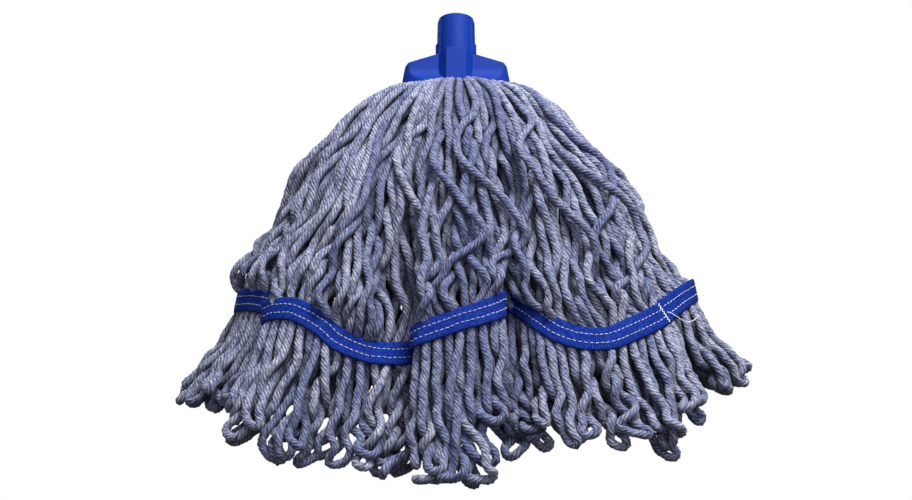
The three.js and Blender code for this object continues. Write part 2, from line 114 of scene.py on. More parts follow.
def catmull_rom(points, per_span, closed=False):
    """A smooth run through the points, with per_span samples between two points."""
    p = np.asarray(points, float)
    if closed:
        q = np.concatenate([p[-1:], p, p[:2]])
    else:
        q = np.concatenate([2 * p[:1] - p[1:2], p, 2 * p[-1:] - p[-2:-1]])
    t = np.linspace(0, 1, per_span, endpoint=False)[:, None]
    spans = []
    for a, b, c, d in zip(q[:-3], q[1:-2], q[2:-1], q[3:]):
        spans.append(0.5 * (
            2 * b + (c - a) * t + (2 * a - 5 * b + 4 * c - d) * t**2
            + (3 * b - a - 3 * c + d) * t**3
        ))
    run = np.concatenate(spans)
    return run if closed else np.concatenate([run, p[-1:]])


def arc_lengths(run):
    """Distance along a run of points, along the second last axis."""
    steps = np.linalg.norm(np.diff(run, axis=-2), axis=-1)
    return np.concatenate([np.zeros_like(steps[..., :1]), np.cumsum(steps, axis=-1)], axis=-1)


def evenly(run, count):
    """The same run with count points equally far apart."""
    along = arc_lengths(run)
    at = np.linspace(0, along[-1], count)
    return np.stack([np.interp(at, along, column) for column in run.T], axis=1)


def rows_at(index, values):
    """Rows of values at fractional row numbers."""
    at = np.arange(len(values))
    return np.stack([np.interp(index, at, column) for column in values.T], axis=-1)


def unit(v):
    return v / np.maximum(np.linalg.norm(v, axis=-1, keepdims=True), 1e-9)


def smoothstep(x):
    x = np.clip(x, 0, 1)
    return x * x * (3 - 2 * x)


# ------------------------------ yarn envelope

# Outward reach and height of the outer yarn surface, from the socket's mouth to the loop
# ends, down the side of the mop and down its front; the same outlines as the CAD hanks'.
BAND_STATION = 0.68
BAND_HALF_WIDTH = 197.0
BAND_HALF_DEPTH = 95.0
SIDE_ABOVE_BAND = [
    (50, -69.8), (66, -69.6), (84, -80), (102, -97), (119, -119), (142, -146),
    (156, -172), (168, -196), (180, -219), (190, -241), (197, -266),
]
SIDE_BELOW_BAND = [(197, -266), (207, -292), (224, -316), (239, -338)]
FRONT_ABOVE_BAND = [
    (24.5, -69.8), (34, -71), (46, -82), (58, -100), (68, -125), (76, -160),
    (83, -200), (89, -250), (95, -308),
]
FRONT_BELOW_BAND = [(95, -308), (100, -345), (108, -390), (114, -432)]
BACK_ABOVE_BAND = [
    (24.5, -69.8), (34, -71), (47, -82), (60, -99), (71, -122), (80, -153),
    (88, -190), (93, -232), (96, -284),
]
BACK_BELOW_BAND = [(96, -284), (99, -312), (104, -344), (109, -374)]


def full_run(above, below, samples=200):
    """One run with BAND_STATION of its samples above the band."""
    upper = evenly(catmull_rom(above, 8), int(samples * BAND_STATION) + 1)
    lower = evenly(catmull_rom(below, 8), samples - int(samples * BAND_STATION) + 1)
    return np.concatenate([upper, lower[1:]])


side_run = full_run(SIDE_ABOVE_BAND, SIDE_BELOW_BAND)
front_run = full_run(FRONT_ABOVE_BAND, FRONT_BELOW_BAND)
back_run = full_run(BACK_ABOVE_BAND, BACK_BELOW_BAND)


def along_run(run, station, inset):
    """Reach and height on a run at a station, inset square to the run."""
    normal = unit(np.gradient(run, axis=0))[:, ::-1] * (-1, 1)
    index = np.clip(station, 0, 1) * (len(run) - 1)
    at = np.arange(len(run))
    reach, height = (
        np.interp(index, at, run[:, k]) - inset * np.interp(index, at, normal[:, k])
        for k in range(2)
    )
    return reach, height


def envelope(angle, station, inset):
    """Points of the yarn envelope at an angle round the mop, inset below its surface."""
    side_reach, side_height = along_run(side_run, station, inset)
    facing = back_run if np.sin(angle) > 0 else front_run
    reach, height = along_run(facing, station, inset)
    cosine, sine = np.cos(angle), np.sin(angle)
    return np.stack([
        side_reach * cosine, reach * sine, side_height * cosine**2 + height * sine**2,
    ], axis=-1)


# ------------------------------ tail band route

# Centreline of the tail band, one open strip of tape. It starts under the lap at the right
# of the front and runs round the right side, the back and the left side, with a pleat
# where it dips inward, and ends on top of its own start.
TAPE_ROUTE = [
    (150, -64, -297), (161, -58.5, -290), (172, -51.5, -283.5), (186, -38, -271),
    (198, -19, -260), (204, -2, -254), (200, 18, -255), (187, 38, -260), (166, 56, -268),
    (138, 74, -278), (108, 87, -287), (86, 88, -290), (76, 77, -288), (74, 64, -285),
    (66, 66, -283), (60, 82, -284), (50, 96, -286), (28, 103, -286), (0, 104, -284),
    (-30, 100, -284), (-52, 90, -286), (-56, 76, -284), (-54, 64, -281), (-64, 62, -280),
    (-80, 72, -283), (-104, 82, -284), (-132, 78, -280), (-156, 62, -272), (-176, 40, -266),
    (-187, 18, -263), (-186, -3, -264), (-173, -22, -268), (-161, -36, -273),
    (-151, -44, -277), (-146, -51, -282), (-152, -57, -287), (-155, -62, -289.5),
    (-147, -70, -288.5), (-133, -78, -290), (-121, -82, -295), (-104, -85, -306),
    (-92, -86, -317), (-70, -85, -326), (-53, -80, -327), (-40, -72, -325),
    (-33, -68, -322), (-32, -76, -320), (-35, -90, -318), (-28, -98, -315),
    (-9, -101, -309), (2, -102, -305), (18, -101, -300), (30, -97, -295),
    (37.5, -88, -289), (39, -76, -285), (35, -64, -280), (38, -58, -278), (47, -64, -281),
    (54, -71, -287), (66, -79, -298), (81, -85, -310), (100, -87.5, -316.5),
    (121, -85, -315.5), (141, -77, -306), (159, -67, -295.5), (170, -59.5, -287.5),
]
TAPE_WIDTH = 19.5
TAPE_THICKNESS = 1.5
TAPE_OUTWARD_LEAN = 0.16


def tape_frame(step):
    """Points, tangents, down directions and outward normals along the tail band."""
    run = catmull_rom(TAPE_ROUTE, 24)
    run = evenly(run, int(arc_lengths(run)[-1] / step) + 1)
    tangent = unit(np.gradient(run, axis=0))
    level = unit(run * (1 / BAND_HALF_WIDTH**2, 1 / BAND_HALF_DEPTH**2, 0))
    lean = level * TAPE_OUTWARD_LEAN - (0, 0, 1)
    down = unit(lean - tangent * np.sum(lean * tangent, axis=1, keepdims=True))
    normal = np.cross(tangent, down)
    facing = np.sign(np.sum(normal * (run * (1, 1, 0)), axis=1).mean())
    return run, tangent, down, normal * facing


# ------------------------------ yarn

PIECES = 16
SEWN_LOOPS = 8 * PIECES
CORE_LOOPS = 2 * PIECES
LOOPS_PER_PIECE = (SEWN_LOOPS + CORE_LOOPS) // PIECES
YARN_RADIUS = 3.85  # half the room a strand takes, and its own radius
DRAWN_RADIUS = 3.45
LAYER_INSETS = (3.9, 11.0)
LINK = 7.2
LEG_LINKS = 37
FRINGE_LINKS = 40
YARN_LINE_DEPTH = 6.0  # from the tape in to the middle of the sewn strands
LEAST_FORWARD = 0.12  # spacing kept where the tape folds back on itself
LEG_LENGTH = 258.0

# How far the legs and loops stray from straight runs, in millimetres.
LONG_SWAY = 4.0
SHORT_SWAY = 5.0
SHORT_SWAY_OUTWARD = 4.0
LOCK_SWAY = 14.0
LOCK_SWAY_OUTWARD = 6.5
PUFF = 6.0  # swell of the yarn just above the band
STRAY_LIFT = 9.0
LOOP_SWAY = (12.0, 6.0)  # sideways and outward
LOOP_HOOK = (15.0, 4.0)
LOOP_RISE = 5.0

# Half width, half depth and height of the outermost legs' first two points in the socket,
# and the share of it that each leg takes: outer layer, then inner layer.
SOCKET_RINGS = ((39.0, 10.0, -57.0), (42.5, 15.5, -66.0))
SOCKET_SHARES = ((1.0, 0.7, 0.84), (0.56, 0.28, 0.42))
DRAW_IN_STATION = 0.36  # the legs are drawn in toward the socket above this
DRAW_IN_DROP = 14.0
PULL_STATION = 0.16  # the legs lean toward their stitches below this

# The core loops fill the bell behind the sewn ones, at a share of their distance out.
CORE_INSET = 18.0
CORE_REACH = (0.5, 0.78)
CORE_SHARES = (0.1, 0.5)

# A few outer legs at the front stray across their neighbours.
STRAY_ANGLE = -68.0
STRAY_SPREAD = 36.0
STRAY_EVERY = 5
STRAY_SWEEP = (14.0, 24.0)

# The loops below the band.
FRINGE_RUN = (83.0, 124.0)  # length of the envelope below the band: side, front
FRINGE_INSET = 4.6
LOOP_TURNS = (0.0, 0.4, 1.0, 2.0, 3.0)  # half turns of a loop's legs on each other
TURN_ODDS = (0.26, 0.16, 0.2, 0.22, 0.16)
LOOP_BEND = (5.0, 8.0)  # half the width of a loop's open end

# The settling of the strands.
ROUNDS = 130
PAIRS_EVERY = 8  # rounds between searches for near pairs
PAIR_MARGIN = 3
PULL_BACK = 0.02
BEND_KEPT = 0.8  # share of a strand's starting bends that stays
BEND_STIFFNESS = 0.16
PUSH = 0.55
LINK_FIX = 0.9
LOWEST = -434.0
TAPE_BLOCK_STEP = 4.0  # points of the tape that push the strands away
TAPE_BLOCK_ROWS = (-8, -4, 0, 4, 8)
TAPE_BLOCK_RADIUS = 1.2

# Where the yarn counts as lying under its neighbours, which gets it painted shade, and how far its
# outward direction turns up by the socket.
COVER_START = 0.4
COVER_SPAN = 2.0
UPWARD_TILT = 0.8
TILT_START = -300.0
TILT_HEIGHT = 230.0


def leg_places():
    """Places along the tape where the yarn legs are sewn on, evenly by the yarn's own line."""
    run, tangent, down, normal = tape_frame(1.0)
    line = run - normal * YARN_LINE_DEPTH
    forward = np.sum(np.gradient(line, axis=0) * tangent, axis=1)
    load = np.cumsum(np.clip(forward, LEAST_FORWARD, None))
    wanted = (np.arange(2 * SEWN_LOOPS) + 0.5) / (2 * SEWN_LOOPS) * load[-1]
    at = np.interp(wanted, load, np.arange(len(run)))
    return rows_at(at, run), unit(rows_at(at, down)), unit(rows_at(at, normal))


def waves(count, along, wavelengths, shape):
    """Smooth random offsets, one row for each strand: sums of sines of random phase."""
    total = np.zeros((count, len(along)) + shape)
    for wavelength in wavelengths:
        phase = rng.uniform(0, 2 * math.pi, (count, 1) + shape)
        stretch = rng.uniform(0.8, 1.25, (count, 1) + shape)
        wave = along.reshape((1, -1) + (1,) * len(shape)) * (2 * math.pi / wavelength)
        total += np.sin(wave * stretch + phase) * rng.uniform(0.4, 1.0, (count, 1) + shape)
    return total / len(wavelengths)


def hump(s, centre, width):
    return np.exp(-((s - centre) / width) ** 2)


def angle_round(x, y):
    """Angle round the mop of a point, on the ellipse that the band follows."""
    return np.arctan2(y / BAND_HALF_DEPTH, x / BAND_HALF_WIDTH)


def leg_base(angle, sewn, inset, share, s):
    """Leg curves down the envelope, drawn in near the socket and pulled over to the band."""
    base = np.stack([envelope(a, s, depth * np.ones_like(s)) for a, depth in zip(angle, inset)])
    rise = smoothstep(s / DRAW_IN_STATION)[None, :]
    scale = share[:, None] * (1 - rise) + rise
    base[..., :2] *= scale[..., None]
    base[..., 2] -= (1 - scale) * DRAW_IN_DROP * (1 - s[None, :])
    pull = smoothstep((s - PULL_STATION) / (BAND_STATION - PULL_STATION))[None, :, None]
    return base + (sewn[:, None, :] - base[:, -1:, :]) * pull


def socket_start(angle, share):
    """The first two points of each leg, inside the socket's mouth."""
    cosine, sine = share * np.cos(angle), share * np.sin(angle)
    level = np.ones_like(angle)
    rings = [
        np.stack([wide * cosine, deep * sine, height * level], axis=1)
        for wide, deep, height in SOCKET_RINGS
    ]
    return np.stack(rings, axis=1)


def stray_moves(s, angle, inset):
    """Sideways sweep and outward lift of the few legs that cross above their neighbours."""
    count = len(angle)
    in_front = np.abs(np.degrees(angle) - STRAY_ANGLE) < STRAY_SPREAD
    stray = in_front & (inset < 5) & (np.arange(count) % STRAY_EVERY == 0)
    sweep = np.sin(np.clip((s - 0.2) / 0.4, 0, 1) * 2 * math.pi)[None, :] * stray[:, None]
    sweep = sweep * rng.choice([-1, 1], (count, 1)) * rng.uniform(*STRAY_SWEEP, (count, 1))
    lift = np.sin(np.clip((s - 0.16) / 0.46, 0, 1) * math.pi)[None, :] * stray[:, None]
    return sweep, lift * STRAY_LIFT


def leg_curves(sewn, inset, share):
    """Starting curves of the legs from inside the socket to the band, LEG_LINKS + 1 nodes."""
    count = len(sewn)
    angle = angle_round(sewn[:, 0], sewn[:, 1])
    s = np.linspace(0, BAND_STATION, 90)
    base = leg_base(angle, sewn, inset, share, s)
    along = s / BAND_STATION * LEG_LENGTH
    fade = smoothstep(s / 0.14) * smoothstep((BAND_STATION - s) / 0.07)
    slack = fade * (0.35 + 0.65 * smoothstep((s - 0.12) / 0.34) + 0.9 * hump(s, 0.57, 0.08))
    cosine, sine = np.cos(angle), np.sin(angle)
    level = np.zeros_like(angle)
    tangent = unit(np.stack([-sine * BAND_HALF_WIDTH, cosine * BAND_HALF_DEPTH, level], axis=1))
    outward = unit(np.stack([cosine / BAND_HALF_WIDTH, sine / BAND_HALF_DEPTH, level], axis=1))

    long_sway = waves(count, along, (110, 190), (2,)) * fade[None, :, None]
    short_sway = waves(count, along, (48, 70), (2,)) * slack[None, :, None]
    together = shared_sway(angle, along) * (fade * smoothstep((s - 0.05) / 0.3))[None, :]
    deep = shared_sway(angle, along) * (fade * smoothstep((s - 0.1) / 0.3))[None, :]
    sideways = long_sway[..., 0] * LONG_SWAY + short_sway[..., 0] * SHORT_SWAY
    sideways = sideways + together * LOCK_SWAY
    proud = long_sway[..., 1] * LONG_SWAY + short_sway[..., 1] * SHORT_SWAY_OUTWARD
    proud = proud + deep * LOCK_SWAY_OUTWARD
    puff = PUFF * hump(s, BAND_STATION - 0.075, 0.05)
    sweep, lift = stray_moves(s, angle, inset)

    right = np.clip(cosine, 0, 1)[:, None] ** 2
    left = np.clip(-cosine, 0, 1)[:, None] ** 2
    hollow = 8 * hump(s, 0.36, 0.11) + 24 * hump(s, 0.57, 0.09)
    base[..., 0] += left * 6 * hump(s, 0.36, 0.08) - right * hollow
    base += tangent[:, None, :] * (sideways + sweep)[..., None]
    base += outward[:, None, :] * (proud + puff + lift)[..., None]
    whole = np.concatenate([socket_start(angle, share), base[:, 3:]], axis=1)
    legs = np.stack([evenly(run, LEG_LINKS + 1) for run in whole])
    return legs, tangent, outward


def shared_sway(angle, along):
    """Sideways drift that neighbouring legs have in common, so that the yarn parts in locks."""
    total = np.zeros((len(angle), len(along)))
    for turns, wavelength in ((6, 300), (11, 240), (19, 280), (29, 190)):
        phase = rng.uniform(0, 2 * math.pi, 2)
        total += np.sin(angle[:, None] * turns + phase[0]) * np.sin(
            along[None, :] * 2 * math.pi / wavelength + phase[1] + angle[:, None] * 2
        )
    return total / 2


# Length of the looped fringe below the band, by the angle round the mop in degrees.
FRINGE_LENGTHS = [
    (-180, 98), (-165, 102), (-150, 98), (-143, 94), (-136, 112), (-127, 128), (-117, 92),
    (-108, 92), (-100, 104), (-92, 132), (-87, 158), (-83, 66), (-79, 108), (-70, 122),
    (-61, 90), (-51, 88), (-45, 114), (-33, 96), (-22, 86), (-10, 94), (10, 94), (60, 86),
    (90, 88), (120, 86), (150, 88), (180, 98),
]


def fringe_middles(middle, length, angle, tangent, outward, t):
    """Middle lines of the loops, down the envelope with a sway and a hook at the end."""
    count = len(middle)
    run_length = np.interp(np.abs(np.sin(angle)), [0, 1], FRINGE_RUN)
    s_end = BAND_STATION + (1 - BAND_STATION) * length / run_length
    s = BAND_STATION + (s_end - BAND_STATION)[:, None] * t[None, :]
    inset = FRINGE_INSET * np.ones_like(t)
    path = np.stack([envelope(angle[i], s[i], inset) for i in range(count)])
    over = np.clip(s - 1, 0, None) / (1 - BAND_STATION) * run_length[:, None]
    path[..., 2] -= over
    path = path - path[:, :1] + middle[:, None, :]
    grow = t[None, :, None] ** 1.3
    sway = waves(count, t * 110, (38, 70), (2,)) * grow
    hook = rng.normal(0, 1, (count, 1, 2)) * (t[None, :, None] ** 3)
    move = sway * LOOP_SWAY + hook * LOOP_HOOK
    path += tangent[:, None, :] * move[..., :1] + outward[:, None, :] * move[..., 1:]
    path[..., 2] += np.abs(hook[..., 0]) * LOOP_RISE
    return path


def loop_widths(apart, length, t):
    """Half the distance between a loop's legs down its length, and its half turns."""
    count = len(apart)
    turn = rng.choice(LOOP_TURNS, count, p=TURN_ODDS)
    bend = rng.uniform(*LOOP_BEND, count)
    waist = np.where(turn > 0.9, 1.03 * YARN_RADIUS, bend)
    open_end = smoothstep((t[None, :] - 0.68) / 0.25)
    middle_half = waist[:, None] * (1 - open_end) + bend[:, None] * open_end
    gather = smoothstep(t / 0.4)[None, :]
    half = apart[:, None] / 2 * (1 - gather) + middle_half * gather
    close = np.clip((t[None, :] - 1) * length[:, None] / bend[:, None] + 1, 0, 1)
    return half * np.sqrt(np.clip(1 - close**2, 0, 1)), turn


def fringe_curves(first, second, angle, tangent, outward):
    """Starting curves of the loops below the band, from each first leg to its second."""
    count = len(first)
    table = np.array(FRINGE_LENGTHS)
    length = np.interp(np.degrees(angle), table[:, 0], table[:, 1])
    length = length * rng.uniform(0.9, 1.06, count) - 6
    t = np.linspace(0, 1, 60)
    path = fringe_middles((first + second) / 2, length, angle, tangent, outward, t)
    half, turn = loop_widths(np.linalg.norm(second - first, axis=1), length, t)
    turn = turn * math.pi * rng.choice([-1, 1, 1], count)
    psi = turn[:, None] * np.clip(t / 0.85, 0, 1)[None, :] ** 1.2
    across = unit(second - first)[:, None, :] * np.cos(psi)[..., None]
    across = across + outward[:, None, :] * np.sin(psi)[..., None]
    down_leg = path - across * half[..., None]
    up_leg = path + across * half[..., None]
    whole = np.concatenate([down_leg, up_leg[:, -2::-1]], axis=1)
    return np.stack([evenly(run, FRINGE_LINKS + 1) for run in whole])


def near_pairs(points, reach, chain_of, node_of):
    """Index pairs of points closer than reach that aren't near each other on one strand."""
    order = np.argsort(points[:, 2], kind="stable")
    sorted_points = points[order]
    heights = sorted_points[:, 2]
    found = []
    block = 256
    for start in range(0, len(points), block):
        rows = sorted_points[start:start + block]
        end = np.searchsorted(heights, rows[-1, 2] + reach)
        columns = sorted_points[start:end]
        gap = ((rows[:, None, :] - columns[None, :, :]) ** 2).sum(axis=2)
        i, j = np.nonzero(gap < reach * reach)
        keep = j > i
        found.append(np.stack([order[start + i[keep]], order[start + j[keep]]]))
    i, j = np.concatenate(found, axis=1)
    keep = (chain_of[i] != chain_of[j]) | (np.abs(node_of[i] - node_of[j]) > 3)
    return i[keep], j[keep]


def push_apart(points, pairs, radius, weight, strength):
    """Moves overlapping points apart by a share of their overlap."""
    i, j = pairs
    gap = points[i] - points[j]
    distance = np.sqrt((gap**2).sum(axis=1)) + 1e-9
    overlap = np.clip(radius[i] + radius[j] - distance, 0, None)
    shift = gap * (overlap / distance * 0.5 * strength)[:, None]
    for k in range(3):
        move = np.bincount(i, shift[:, k], len(points)) - np.bincount(j, shift[:, k], len(points))
        points[:, k] += move * weight


def mend_links(strands, rest, weight):
    """Brings the links back to their length, in turn those of even and of odd number."""
    for parity in (0, 1, 0, 1):
        b = strands[:, parity + 1::2]
        a = strands[:, parity:-1:2][:, :b.shape[1]]
        weight_a = weight[:, parity:-1:2][:, :b.shape[1]]
        weight_b = weight[:, parity + 1::2]
        link = b - a
        size = np.linalg.norm(link, axis=2, keepdims=True)
        wanted = rest[:, parity::2][:, :b.shape[1]]
        fix = link * ((size - wanted) / size) / np.maximum(weight_a + weight_b, 1e-6)
        a += fix * weight_a * LINK_FIX
        b -= fix * weight_b * LINK_FIX


def relax(chains, radius, weight, obstacles):
    """Settles the strands: links keep their length, strands push each other apart."""
    target = chains.copy()
    rest = np.linalg.norm(np.diff(chains, axis=1), axis=2, keepdims=True)
    bends = 0.5 * (target[:, :-2] + target[:, 2:]) - target[:, 1:-1]
    count, nodes = chains.shape[:2]
    own = count * nodes
    fixed = len(obstacles)
    chain_of = np.concatenate([np.repeat(np.arange(count), nodes), -1 - np.arange(fixed)])
    node_of = np.concatenate([np.tile(np.arange(nodes), count), np.zeros(fixed, int)])
    points = np.concatenate([chains.reshape(-1, 3), obstacles])
    radii = np.concatenate([radius.reshape(-1), np.full(fixed, TAPE_BLOCK_RADIUS)])
    free = np.concatenate([weight.reshape(-1), np.zeros(fixed)])
    w = weight[..., None]
    for step in range(ROUNDS):
        if step % PAIRS_EVERY == 0:
            pairs = near_pairs(points, 2 * YARN_RADIUS + PAIR_MARGIN, chain_of, node_of)
        now = points[:own].reshape(count, nodes, 3)
        now += (target - now) * PULL_BACK * w
        bend = 0.5 * (now[:, :-2] + now[:, 2:]) - now[:, 1:-1] - BEND_KEPT * bends
        now[:, 1:-1] += bend * BEND_STIFFNESS * w[:, 1:-1]
        push_apart(points, pairs, radii, free, PUSH)
        mend_links(now, rest, w)
        now[..., 2] = np.clip(now[..., 2], LOWEST + YARN_RADIUS, None)
    return points[:own].reshape(count, nodes, 3)


def outward_at(points):
    """Outward directions of the mop's surface near points, turning upward near the socket."""
    rise = UPWARD_TILT * np.clip((points[..., 2:] - TILT_START) / TILT_HEIGHT, 0, 1) ** 2
    level = unit(points[..., :2] / (BAND_HALF_WIDTH**2, BAND_HALF_DEPTH**2))
    return unit(np.concatenate([level, rise], axis=-1))


def covering(chains):
    """How far each strand lies under its neighbours, 0 on top and 1 deep inside the yarn."""
    count, nodes = chains.shape[:2]
    points = chains.reshape(-1, 3)
    chain_of = np.repeat(np.arange(count), nodes)
    node_of = np.tile(np.arange(nodes), count)
    outward = outward_at(points)
    i, j = near_pairs(points, 3 * YARN_RADIUS, chain_of, node_of)
    gap = points[j] - points[i]
    distance = np.linalg.norm(gap, axis=1)
    near = np.clip(3 - distance / YARN_RADIUS, 0, 1) / np.maximum(distance, 1e-6)
    over_i = np.clip(np.sum(gap * outward[i], axis=1) * near, 0, 1)
    over_j = np.clip(-np.sum(gap * outward[j], axis=1) * near, 0, 1)
    total = np.bincount(i, over_i, len(points)) + np.bincount(j, over_j, len(points))
    return smoothstep((total.reshape(count, nodes) - COVER_START) / COVER_SPAN)


def leg_layout():
    """Where each leg is sewn, its down direction, its depth and its share of the socket."""
    place, down, normal = leg_places()
    index = np.arange(len(place))
    layer = index % 2
    share = np.array(SOCKET_SHARES)[layer, (index // 2) % 3]
    inset = np.array(LAYER_INSETS)[layer]
    sewn = place - normal * (inset[:, None] + TAPE_THICKNESS / 2)

    core = np.linspace(0, len(place) - 1, 2 * CORE_LOOPS).astype(int)
    reach = rng.uniform(*CORE_REACH, (len(core), 1))
    core_sewn = sewn[core] * np.concatenate([reach, reach, reach * 0 + 1], axis=1)
    sewn = np.concatenate([sewn, core_sewn])
    down = np.concatenate([down, down[core]])
    inset = np.concatenate([inset, np.full(len(core), CORE_INSET)])
    share = np.concatenate([share, rng.uniform(*CORE_SHARES, len(core))])
    return sewn, down, inset, share * rng.uniform(0.95, 1.03, len(share))


def loop_legs():
    """Numbers of each loop's first and second leg: the sewn loops, then the core's."""
    sewn_legs = np.arange(2 * SEWN_LOOPS)
    core_legs = np.arange(2 * SEWN_LOOPS, 2 * (SEWN_LOOPS + CORE_LOOPS), 2)
    first = np.concatenate([sewn_legs[(sewn_legs % 4) < 2], core_legs])
    second = np.concatenate([first[:SEWN_LOOPS] + 2, first[SEWN_LOOPS:] + 1])
    return first, second


def hold_strands(chains, first, second, sewn, down):
    """Straightens the strands under the tape; returns weights, 0 there and in the socket."""
    last = chains.shape[1] - 1
    weight = np.ones(chains.shape[:2])
    is_sewn = first < 2 * SEWN_LOOPS
    for band_node, leg, step in ((LEG_LINKS, first, 1), (last - LEG_LINKS, second, -1)):
        for k in (-1, 0, 1):
            held = band_node + k * step
            straight = sewn[leg] + down[leg] * LINK * k
            chains[is_sewn, held] = straight[is_sewn]
            weight[is_sewn, held] = 0
    weight[:, [0, 1, last - 1, last]] = 0
    return weight


def room_radius(count, nodes):
    """Half the room that the nodes of a strand take: less in the socket and at the tape."""
    station = np.minimum(np.arange(nodes), nodes - 1 - np.arange(nodes)) / LEG_LINKS
    radius = YARN_RADIUS * (0.5 + 0.46 * smoothstep(station / 0.3)) * np.ones((count, 1))
    return radius * (1 - 0.15 * hump(station, 1, 0.04))[None, :]


def yarn_chains():
    """Centrelines of the yarn loops: socket, band, loop, band and back to the socket."""
    sewn, down, inset, share = leg_layout()
    legs, tangent, outward = leg_curves(sewn, inset, share)
    first, second = loop_legs()
    drop = down * LINK
    a, b = sewn[first] + drop[first], sewn[second] + drop[second]
    middle_angle = angle_round(a[:, 0] + b[:, 0], a[:, 1] + b[:, 1])
    fringe = fringe_curves(a, b, middle_angle, tangent[first], outward[first])
    chains = np.concatenate([legs[first], fringe[:, 1:-1], legs[second][:, ::-1]], axis=1)
    weight = hold_strands(chains, first, second, sewn, down)
    count, nodes = weight.shape
    tape, _, tape_down, _ = tape_frame(TAPE_BLOCK_STEP)
    obstacles = np.concatenate([tape + tape_down * k for k in TAPE_BLOCK_ROWS])
    settled = relax(chains, room_radius(count, nodes), weight, obstacles)
    sewn_part = settled[:SEWN_LOOPS].reshape(PIECES, -1, nodes, 3)
    core_part = settled[SEWN_LOOPS:].reshape(PIECES, -1, nodes, 3)
    return np.concatenate([sewn_part, core_part], axis=1).reshape(-1, nodes, 3)


# ------------------------------ meshes


def mesh_object(name, points, faces, finish):
    """A smooth mesh object from points in millimetres and quads or triangles."""
    faces = np.asarray(faces, np.int32)
    mesh = bpy.data.meshes.new(name)
    mesh.vertices.add(len(points))
    mesh.vertices.foreach_set("co", (np.asarray(points) * MM).astype(np.float32).ravel())
    mesh.loops.add(faces.size)
    mesh.loops.foreach_set("vertex_index", faces.ravel())
    mesh.polygons.add(len(faces))
    mesh.polygons.foreach_set("loop_start", np.arange(0, faces.size, faces.shape[1], dtype=np.int32))
    mesh.update(calc_edges=True)
    mesh.validate()
    mesh.polygons.foreach_set("use_smooth", np.full(len(mesh.polygons), True))
    mesh.materials.append(finish)
    piece = bpy.data.objects.new(name, mesh)
    bpy.context.collection.objects.link(piece)
    return piece


def add_attribute(piece, name, values):
    attribute = piece.data.attributes.new(name, "FLOAT", "POINT")
    attribute.data.foreach_set("value", np.asarray(values, np.float32))


def add_strip_uv(piece, corners):
    """A UV layer from the (faces, corners, 2) array of positions in the unit square."""
    layer = piece.data.uv_layers.new(name="OFBake")
    layer.data.foreach_set("uv", np.asarray(corners, np.float32).ravel())


def carried_frames(line):
    """Tangents and two side directions carried along lines, shape (strands, points, 3)."""
    tangent = unit(np.gradient(line, axis=1))
    side = np.zeros_like(line)
    start = np.cross(tangent[:, 0], np.array([0.0, 1.0, 0.2]))
    side[:, 0] = unit(start)
    for k in range(1, line.shape[1]):
        carried = side[:, k - 1]
        t = tangent[:, k]
        side[:, k] = unit(carried - t * np.sum(carried * t, axis=1, keepdims=True))
    return tangent, side, np.cross(tangent, side)


def tube_quads(rings, columns):
    """Quads of an open tube, ring by ring; corner order (ring, column)."""
    ring = np.arange(rings - 1)[:, None]
    column = np.arange(columns)[None, :]
    after = (column + 1) % columns
    quads = np.stack([
        ring * columns + column + 0 * after, ring * columns + after + 0 * column,
        (ring + 1) * columns + after, (ring + 1) * columns + column + 0 * after,
    ], axis=-1)
    return quads.reshape(-1, 4)


def unit_rings(line, sides):
    """Directions from each point of a line to the corners of its ring."""
    _, side, up = carried_frames(line[None])
    angle = (np.arange(sides) * 2 * math.pi / sides)[None, :, None]
    return side[0][:, None] * np.cos(angle) + up[0][:, None] * np.sin(angle)


def tube(name, line, radius, sides, finish):
    """A closed round tube along one line in millimetres."""
    points = (line[:, None] + unit_rings(line, sides) * radius).reshape(-1, 3)
    quads = tube_quads(len(line), sides)
    points = np.concatenate([points, line[:1], line[-1:]])
    column = np.arange(sides)
    after = (column + 1) % sides
    last = (len(line) - 1) * sides
    first_cap = np.stack([after, column, column * 0 + len(points) - 2], axis=1)
    last_cap = np.stack([last + column, last + after, column * 0 + len(points) - 1], axis=1)
    triangles = np.concatenate([quads[:, [0, 1, 2]], quads[:, [0, 2, 3]], first_cap, last_cap])
    return mesh_object(name, points, triangles, finish)


# ------------------------------ materials


def material(name):
    made = bpy.data.materials.new(name)
    made.use_nodes = True
    tree = made.node_tree
    return made, tree, tree.nodes["Principled BSDF"]


def set_inputs(tree, made, inputs):
    """Links or sets a node's inputs, by name or number."""
    for key, value in inputs.items():
        if isinstance(value, bpy.types.NodeSocket):
            tree.links.new(value, made.inputs[key])
        else:
            made.inputs[key].default_value = value


def node(tree, kind, inputs=None, **settings):
    made = tree.nodes.new(kind)
    for key, value in settings.items():
        setattr(made, key, value)
    set_inputs(tree, made, inputs or {})
    return made


def maths(tree, operation, a, b=0.0, c=0.0):
    return node(tree, "ShaderNodeMath", {0: a, 1: b, 2: c}, operation=operation).outputs[0]


def mixed(tree, share, a, b, blend="MIX"):
    inputs = {0: share, 6: a, 7: b}
    made = node(tree, "ShaderNodeMix", inputs, data_type="RGBA", blend_type=blend)
    return made.outputs[2]


def rgb(red, green, blue):
    """Scene linear colour of an sRGB one given from 0 to 255."""
    def linear(c):
        c = c / 255
        return c / 12.92 if c <= 0.04045 else ((c + 0.055) / 1.055) ** 2.4
    return (linear(red), linear(green), linear(blue), 1)


def noise(tree, vector, scale, detail=2.0, roughness=0.5):
    made = node(tree, "ShaderNodeTexNoise", {
        "Vector": vector, "Scale": scale, "Detail": detail, "Roughness": roughness,
    })
    return made.outputs["Fac"]


def ramp(tree, value, low, high):
    made = node(tree, "ShaderNodeMapRange", {
        "Value": value, "From Min": low, "From Max": high, "To Min": 0.0, "To Max": 1.0,
    })
    return made.outputs["Result"]


def tinted(tree, colour, tint):
    """The colour multiplied by a tint."""
    return mixed(tree, 1.0, colour, tint, "MULTIPLY")


